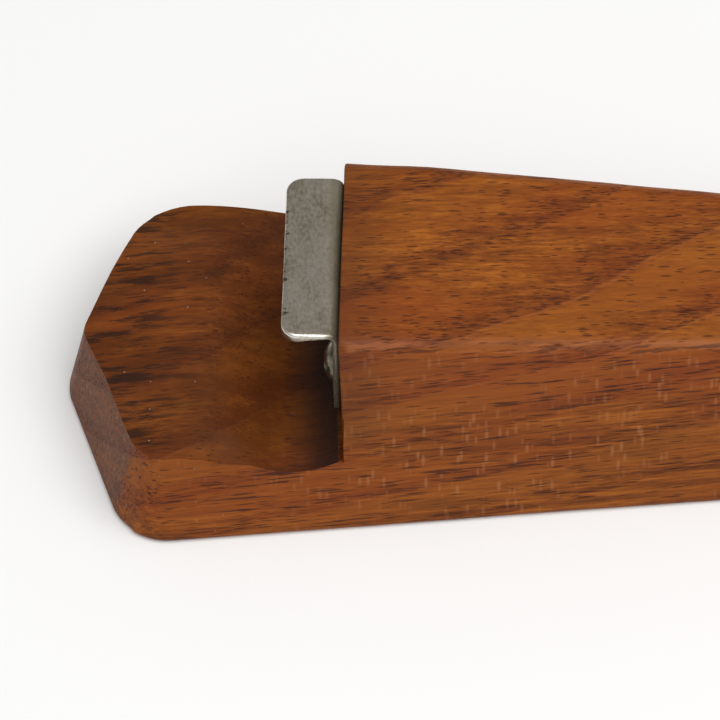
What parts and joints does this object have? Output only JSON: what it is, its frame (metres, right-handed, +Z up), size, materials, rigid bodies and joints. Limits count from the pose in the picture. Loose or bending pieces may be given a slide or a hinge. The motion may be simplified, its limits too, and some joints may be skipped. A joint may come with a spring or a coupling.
{
  "type": "wooden crown-cap opener",
  "caption": "Tapered hardwood crown-cap bottle opener with a stepped pointed nose and a bent steel lip screwed to the end wall of the step.",
  "frame": {"origin": "centre of the underside, on the surface that the opener lies on", "axes": "+X along the bar from the nose to the tail, +Z up from the flat underside, +Y across the bar"},
  "size_m": [0.172, 0.0476, 0.0293],
  "materials": {
    "oiled_hardwood": "one piece of red-brown open-pored hardwood, grain along the bar, thin oil finish, edges rounded by wear",
    "lip_steel": "dull grey sheet steel with a bright worn front edge, small nicks and a faint olive stain at the bend",
    "screw_steel": "plain bright steel, slightly tarnished in the slot"
  },
  "bodies": {
    "root": {"handle": "oiled_hardwood", "opener_lip": "lip_steel", "lip_screw_front": "screw_steel", "lip_screw_back": "screw_steel"}
  },
  "joints": []
}
